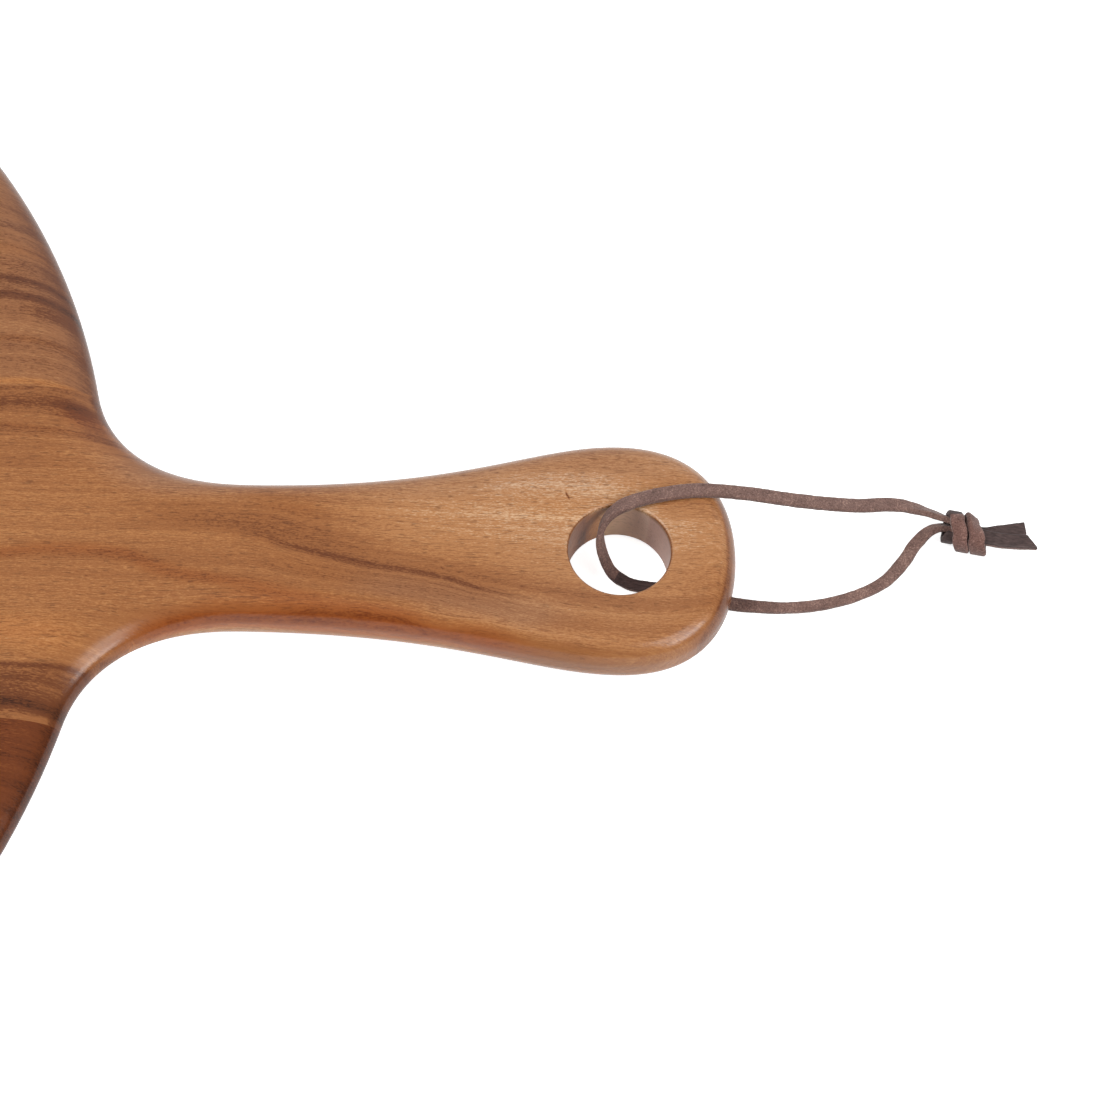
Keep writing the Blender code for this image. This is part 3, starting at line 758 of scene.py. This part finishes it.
def make_board():
    form = board_form()
    hole = hole_form()
    half = GLUE_HAIRLINE / 2
    past = PLATE_RADIUS + 10 * MM
    centre = acacia(
        "acacia_handle", seed=3.0, tone=0.57, redness=-0.11, lean=0.3, end_grain_and_shade=(0.52, 0.68, 0.58),
        figures=CENTRE_FIGURE, handle=True,
    )
    far_inner = acacia(
        "acacia_streaked", seed=17.0, tone=0.51, redness=-0.65, lean=1.0, end_grain_and_shade=(0.05, 0.70, 0.62),
        figures=FAR_FIGURE,
    )
    near_inner = acacia(
        "acacia_red_brown", seed=31.0, tone=0.245, redness=0.5, lean=0.4, end_grain_and_shade=(0.30, 0.80, 0.48),
    )
    far_outer = acacia(
        "acacia_dark", seed=43.0, tone=0.34, redness=0.30, lean=0.5, end_grain_and_shade=(0.30, 0.80, 0.66),
    )
    near_outer = acacia(
        "acacia_golden", seed=59.0, tone=0.56, redness=0.10, lean=-0.4, end_grain_and_shade=(0.30, 0.80, 0.60),
    )
    staves = [
        ("centre_stave", GLUE_NEAR, GLUE_FAR, hole, centre, "acacia_handle"),
        ("far_inner_stave", GLUE_FAR, GLUE_FAR_OUTER, None, far_inner, "acacia_light"),
        ("near_inner_stave", GLUE_NEAR_OUTER, GLUE_NEAR, None, near_inner, "acacia_dark"),
        ("far_outer_stave", GLUE_FAR_OUTER, past, None, far_outer, "acacia_dark"),
        ("near_outer_stave", -past, GLUE_NEAR_OUTER, None, near_outer, "acacia_light"),
    ]
    for node_name, low, high, tool, look, slot in staves:
        piece = stave("fine_" + node_name, low + half, high - half, form, tool, look)
        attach(piece, "board")
        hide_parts(node_name)
    for tool in (form, hole):
        bpy.data.objects.remove(tool)


# Thong

CURVE_STEPS = 24
STRIP_STEP = 0.5 * MM
WRAP_STEP_DEGREES = 5
STRIP_CORNER = 0.5 * MM
REVERSE_BELOW = -0.3 * MM
STRIP_SHARP_ANGLE = math.radians(50)

# How the strip's edges waver, as (waves in a metre, size)
STRIP_WAVERS = [(420, 0.10 * MM), (1300, 0.07 * MM)]


def through(route, step):
    """Points spaced evenly along a smooth curve through the route (centripetal Catmull-Rom)."""
    ends = [2 * route[0] - route[1]] + route + [2 * route[-1] - route[-2]]
    fine = []
    for a, b, c, d in zip(ends, ends[1:], ends[2:], ends[3:]):
        t1 = (b - a).length ** 0.5
        t2 = t1 + (c - b).length ** 0.5
        t3 = t2 + (d - c).length ** 0.5
        for share in range(CURVE_STEPS):
            t = t1 + (t2 - t1) * share / CURVE_STEPS
            ab = a + (b - a) * (t / t1)
            bc = b + (c - b) * ((t - t1) / (t2 - t1))
            cd = c + (d - c) * ((t - t2) / (t3 - t2))
            abc = ab + (bc - ab) * (t / t2)
            bcd = bc + (cd - bc) * ((t - t1) / (t3 - t1))
            fine.append(abc + (bcd - abc) * ((t - t1) / (t2 - t1)))
    fine.append(route[-1])
    length = sum((q - p).length for p, q in zip(fine, fine[1:]))
    count = max(2, round(length / step))
    points = [fine[0]]
    walked = 0.0
    for p, q in zip(fine, fine[1:]):
        span = (q - p).length
        while span > 0 and len(points) < count and walked + span >= len(points) * length / count:
            points.append(p + (q - p) * ((len(points) * length / count - walked) / span))
        walked += span
    points.append(fine[-1])
    return points


# How the strip turns about its length, and how wide it shows, at places counted along the loop's route
LOOP_TURNS = [
    (0, 62), (1, 55), (2, 38), (3, 14), (4, 0), (12, 0),
    (14, 14), (17.4, 16), (18.4, 0), (29, 0), (30.5, -40), (32, -50),
]
LOOP_WIDTHS = [
    (0, 0.8), (2, 0.9), (4, 1.0), (13, 1.0), (15.5, 0.86), (18, 0.86),
    (20, 1.0), (22, 0.95), (24, 0.8), (26, 0.8), (28, 0.95), (32, 0.8),
]
LOOP_SMOOTH_SPAN = (17.2, 21.5)

# The wraps of the knot as (degrees round it, millimetres along its axis, share of its full girth)
WRAPS = [
    (-215, -4.1, 0.30), (-190, -4.4, 0.45), (-160, -4.6, 0.58), (-110, -4.7, 0.74), (-60, -4.6, 0.80),
    (0, -4.4, 0.88), (50, -3.9, 0.97), (80, -3.3, 1.0), (140, -2.0, 1.0), (205, -0.7, 1.0),
    (270, -0.3, 0.96), (360, 0.2, 0.92), (430, 0.7, 0.83), (500, 2.2, 0.96), (565, 3.3, 1.0),
    (610, 3.4, 0.9), (670, 3.1, 0.66),
]
WRAP_WIDTHS = [
    (-215, 0.5), (-190, 0.75), (-150, 0.85), (0, 0.95),
    (60, 1.0), (400, 1.0), (480, 1.12), (670, 1.1),
]
WRAP_TURNS = [(-215, 0), (340, 0), (415, -38), (465, -32), (530, 0), (670, 0)]
# Up to these degrees the wraps show the dark smooth face all round: partly the strip's reverse, partly
# painted shade on the first wrap's top
WRAP_SMOOTH_AND_SHADED_TO = 62
TAIL_WIDTHS = [(0, 1.15), (1, 1.08)]


def spread(keys, places):
    """Values at the given places, eased between (place, value) keys."""
    values = []
    for place in places:
        pair = [(a, b) for a, b in zip(keys, keys[1:]) if a[0] <= place <= b[0]]
        if pair:
            (low, first), (high, second) = pair[0]
            share = (place - low) / (high - low)
            values.append(first + (second - first) * share * share * (3 - 2 * share))
        else:
            values.append(keys[0][1] if place < keys[0][0] else keys[-1][1])
    return values


def route_places(route, points):
    """For evenly spaced points, the place of each counted in points of the route."""
    reached = [0.0]
    for p, q in zip(route, route[1:]):
        reached.append(reached[-1] + (q - p).length)
    places = []
    for index in range(len(points)):
        walked = reached[-1] * index / (len(points) - 1)
        after = next(i for i, r in enumerate(reached) if r >= walked - 1e-9)
        after = max(after, 1)
        places.append(after - 1 + (walked - reached[after - 1]) / (reached[after] - reached[after - 1]))
    return places


def section(width, thickness, corner, corner_steps=3, face_steps=6):
    """The strip's cross-section as (across, out) points, its suede face at +out."""
    wide = width / 2 - corner
    thick = thickness / 2 - corner
    points = []
    for side_x, side_y, start in ((1, 1, 0), (-1, 1, 90), (-1, -1, 180), (1, -1, 270)):
        for step in range(corner_steps + 1):
            angle = math.radians(start + 90 * step / corner_steps)
            across = side_x * wide + corner * math.cos(angle)
            points.append((across, side_y * thick + corner * math.sin(angle)))
        if start in (0, 180):
            for step in range(1, face_steps):
                across = side_x * wide * (1 - 2 * step / face_steps)
                points.append((across, side_y * thickness / 2))
    return points


def strip(name, points, hints, looks, turns=None, widths=None, smooth_rows=(), smooth_round=False, cut=0.0):
    """A flat leather strip swept along the points.

    hints give its width direction at each point, turns an extra turn about its length, and widths a share of
    its full width. Rows named in smooth_rows have the smooth reverse, or with smooth_round are smooth all
    round. cut slants the far end.
    """
    suede, smooth = looks
    count = len(points)
    turns = turns or [0.0] * count
    widths = widths or [1.0] * count
    ring_shape = section(THONG_WIDTH, THONG_THICKNESS, STRIP_CORNER)
    shape = bmesh.new()
    rings = []
    for index, point in enumerate(points):
        along = (points[min(index + 1, count - 1)] - points[max(index - 1, 0)]).normalized()
        across = (hints[index] - along * hints[index].dot(along)).normalized()
        across = Quaternion(along, math.radians(turns[index])) @ across
        out = across.cross(along)
        slant = cut * index / (count - 1)
        ring = []
        for a, o in ring_shape:
            a *= widths[index]
            place = point + across * a + out * o - along * (slant * a)
            waver = sum(noise.noise(place * waves) * size for waves, size in STRIP_WAVERS)
            ring.append(shape.verts.new(place + across * (waver if a > 0 else -waver)))
        rings.append(ring)
    for row, (first, second) in enumerate(zip(rings, rings[1:])):
        for index in range(len(ring_shape)):
            face = shape.faces.new((first[index - 1], first[index], second[index], second[index - 1]))
            low = min(ring_shape[index][1], ring_shape[index - 1][1]) < REVERSE_BELOW
            face.material_index = 1 if row in smooth_rows and (low or smooth_round) else 0
    shape.faces.new(reversed(rings[0]))
    shape.faces.new(rings[-1])
    bmesh.ops.recalc_face_normals(shape, faces=shape.faces)
    mesh = bpy.data.meshes.new(name)
    shape.to_mesh(mesh)
    shape.free()
    mesh.transform(REST)
    mesh.shade_smooth()
    mesh.set_sharp_from_angle(angle=STRIP_SHARP_ANGLE)
    mesh.materials.append(suede)
    mesh.materials.append(smooth)
    return scratch_object(name, mesh)


def knot_points(step):
    """The wraps' centre line round the knot's axis, the degrees turned at each point, and that axis."""
    along = Vector((math.cos(KNOT_TURN), math.sin(KNOT_TURN), 0))
    across = Vector((-math.sin(KNOT_TURN), math.cos(KNOT_TURN), 0))
    up = Vector((0, 0, 1))
    middle = Vector((KNOT_X, KNOT_Y, KNOT_Z))
    wide = KNOT_HALF_WIDTH - THONG_THICKNESS / 2
    high = KNOT_HALF_HEIGHT - THONG_THICKNESS / 2
    turned = list(range(WRAPS[0][0], WRAPS[-1][0] + 1, step))
    shifts = spread([(degrees, shift) for degrees, shift, girth in WRAPS], turned)
    girths = spread([(degrees, girth) for degrees, shift, girth in WRAPS], turned)
    points = []
    for degrees, shift, girth in zip(turned, shifts, girths):
        angle = math.radians(degrees)
        ring = across * (wide * girth * math.cos(angle)) + up * (high * girth * math.sin(angle))
        points.append(middle + along * (shift * MM) + ring)
    return points, turned, along


SUEDE_TONES = [(0.26, srgb(84, 64, 59)), (0.5, srgb(118, 91, 83)), (0.74, srgb(158, 127, 115))]
RUBBED_TONES = [(0.26, srgb(82, 57, 51)), (0.5, srgb(113, 82, 74)), (0.74, srgb(150, 115, 104))]
SMOOTH_TONES = [(0.3, srgb(55, 42, 40)), (0.55, srgb(75, 59, 57)), (0.75, srgb(96, 78, 75))]
NAP_SCALE = 2.4
BLOTCH_SCALE = 0.35
BLOTCH_SWING = 0.12
WRINKLE_SCALE = (0.16, 2.2, 2.2)


def suede_look(name, tones):
    made, tree, shader = new_look(name)
    place = stretched(tree, add_node(tree, "ShaderNodeTexCoord").outputs["Object"], (1 / MM,) * 3)
    nap = noised(tree, place, 3.0, 0.65, scale=NAP_SCALE)
    blotches = noised(tree, place, scale=BLOTCH_SCALE)
    level = maths(tree, "ADD", nap, swung(tree, blotches, BLOTCH_SWING))
    tree.links.new(ramped(tree, level, tones), shader.inputs["Base Color"])
    shader.inputs["Roughness"].default_value = 0.95
    shader.inputs["Specular IOR Level"].default_value = 0.15
    shader.inputs["Sheen Weight"].default_value = 0.25
    shader.inputs["Sheen Roughness"].default_value = 0.5
    relieved(tree, shader, nap, strength=0.7, distance=0.3 * MM)
    return made


def smooth_look():
    made, tree, shader = new_look("taupe_grain_side")
    place = stretched(tree, add_node(tree, "ShaderNodeTexCoord").outputs["Object"], (1 / MM,) * 3)
    wrinkle = noised(tree, stretched(tree, place, WRINKLE_SCALE), 3.0, 0.6)
    tree.links.new(ramped(tree, wrinkle, SMOOTH_TONES), shader.inputs["Base Color"])
    shader.inputs["Roughness"].default_value = 0.62
    shader.inputs["Specular IOR Level"].default_value = 0.35
    relieved(tree, shader, wrinkle, strength=0.6, distance=0.25 * MM)
    return made


def make_thong():
    smooth = smooth_look()
    looks = (suede_look("taupe_suede", SUEDE_TONES), smooth)
    knot_looks = (suede_look("rubbed_suede", RUBBED_TONES), smooth)
    across_board = Vector((0, 1, 0))
    loop_points = through(LOOP_ROUTE, STRIP_STEP)
    places = route_places(LOOP_ROUTE, loop_points)
    smooth_from, smooth_to = LOOP_SMOOTH_SPAN
    loop = strip(
        "thong_strap",
        loop_points,
        [across_board] * len(loop_points),
        looks,
        turns=spread(LOOP_TURNS, places),
        widths=spread(LOOP_WIDTHS, places),
        smooth_rows={row for row, place in enumerate(places) if smooth_from < place < smooth_to},
    )
    wrap_points, turned, knot_axis = knot_points(WRAP_STEP_DEGREES)
    knot = strip(
        "thong_wraps",
        wrap_points,
        [-knot_axis] * len(wrap_points),
        knot_looks,
        turns=spread(WRAP_TURNS, turned),
        widths=spread(WRAP_WIDTHS, turned),
        smooth_rows={row for row, degrees in enumerate(turned) if degrees < WRAP_SMOOTH_AND_SHADED_TO},
        smooth_round=True,
    )
    tails = []
    for name, route, cut in (("far_tail", FAR_TAIL_ROUTE, -0.2), ("near_tail", NEAR_TAIL_ROUTE, 0.6)):
        points = through(route, STRIP_STEP)
        rows = range(len(points))
        tail = strip(
            "thong_" + name + "_end",
            points,
            [across_board] * len(points),
            looks,
            widths=spread(TAIL_WIDTHS, [row / (len(points) - 1) for row in rows]),
            smooth_rows=rows,
            cut=cut,
        )
        tails.append(tail)
    nodes = ("thong_loop", "thong_knot", "thong_far_tail", "thong_near_tail")
    for piece, node_name in zip((loop, knot, *tails), nodes):
        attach(piece, "thong")
        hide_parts(node_name)


# Stage

FLOOR_HALF = 4
FLOOR_COLOUR = (0.75, 0.75, 0.75, 1)
FLOOR_SEEN = 0.84
FLOOR_MIRRORED = 0.40
WHITE = (1, 1, 1, 1)

# The studio's walls, dark in front and bright behind, and its ceiling
FRONT_TO_BACK = (0.15, 0.75, 0.06, 0.72)
OVERHEAD = (0.5, 0.95)
TOP_LEVEL = 0.25

# Lamps as (name, degrees round the board from its handle, degrees up, distance, width, depth, watts)
LAMPS = [
    ("softbox_right", -34, 30, 1.4, 0.9, 0.42, 9.0),
    ("softbox_high", -40, 50, 1.4, 0.8, 0.5, 5.2),
    ("softbox_left", 185, 55, 3.0, 1.4, 1.4, 64.0),
]


def white_ground(name):
    made = bpy.data.materials.new(name)
    made.use_nodes = True
    tree = made.node_tree
    tree.nodes.clear()
    rays = add_node(tree, "ShaderNodeLightPath")
    mirrored = maths(tree, "MAXIMUM", rays.outputs["Is Glossy Ray"], rays.outputs["Is Transmission Ray"])
    mirrored = maths(tree, "MULTIPLY", mirrored, FLOOR_MIRRORED)
    seen = maths(tree, "MULTIPLY", rays.outputs["Is Camera Ray"], FLOOR_SEEN)
    strength = maths(tree, "MAXIMUM", seen, mirrored)
    pale = add_node(tree, "ShaderNodeBsdfDiffuse", {"Color": FLOOR_COLOUR})
    glow = add_node(tree, "ShaderNodeEmission", {"Color": WHITE, "Strength": strength})
    both = add_node(tree, "ShaderNodeAddShader", {0: pale.outputs[0], 1: glow.outputs[0]})
    add_node(tree, "ShaderNodeOutputMaterial", {"Surface": both.outputs[0]})
    return made


def make_stage():
    shape = bmesh.new()
    bmesh.ops.create_grid(shape, x_segments=1, y_segments=1, size=FLOOR_HALF)
    mesh = bpy.data.meshes.new("floor")
    shape.to_mesh(mesh)
    shape.free()
    floor = scratch_object("floor", mesh)
    mesh.materials.append(white_ground("white_floor"))

    world = bpy.data.worlds.new("studio")
    bpy.context.scene.world = world
    world.use_nodes = True
    tree = world.node_tree
    tree.nodes.clear()
    rays = add_node(tree, "ShaderNodeLightPath")
    facing = add_node(tree, "ShaderNodeTexCoord").outputs["Generated"]
    axes = add_node(tree, "ShaderNodeSeparateXYZ", {0: facing}).outputs
    walls = ranged(tree, axes[1], *FRONT_TO_BACK)
    level = between(tree, ranged(tree, axes[2], *OVERHEAD), walls, TOP_LEVEL)
    strength = maths(tree, "MAXIMUM", level, rays.outputs["Is Camera Ray"])
    ground = add_node(tree, "ShaderNodeBackground", {"Color": WHITE, "Strength": strength})
    add_node(tree, "ShaderNodeOutputWorld", {"Surface": ground.outputs[0]})

    middle = REST @ TARGET
    for name, azimuth, elevation, distance, width, depth, power in LAMPS:
        lamp = bpy.data.lights.new(name, "AREA")
        lamp.energy = power
        lamp.shape = "RECTANGLE"
        lamp.size = width
        lamp.size_y = depth
        holder = bpy.data.objects.new(name, lamp)
        bpy.context.scene.collection.objects.link(holder)
        flat = distance * math.cos(math.radians(elevation))
        offset = Vector((
            flat * math.cos(math.radians(azimuth)),
            flat * math.sin(math.radians(azimuth)),
            distance * math.sin(math.radians(elevation)),
        ))
        holder.location = middle + offset
        holder.rotation_euler = offset.to_track_quat("Z", "Y").to_euler()


def make_camera():
    lens = bpy.data.cameras.new("camera")
    lens.lens = CAMERA_LENS
    lens.sensor_width = 36
    lens.clip_start = 0.01
    camera = bpy.data.objects.new("camera", lens)
    bpy.context.scene.collection.objects.link(camera)
    back = Vector((
        math.sin(CAMERA_YAW) * math.cos(CAMERA_ELEVATION),
        -math.cos(CAMERA_YAW) * math.cos(CAMERA_ELEVATION),
        math.sin(CAMERA_ELEVATION),
    ))
    turn = back.to_track_quat("Z", "Y") @ Quaternion((0, 0, 1), CAMERA_ROLL)
    pose = Matrix.Translation(TARGET + back * CAMERA_DISTANCE) @ turn.to_matrix().to_4x4()
    camera.matrix_world = REST @ pose
    bpy.context.scene.camera = camera


make_camera()
make_board()
make_thong()
make_stage()
bpy.context.scene.view_settings.view_transform = "Standard"
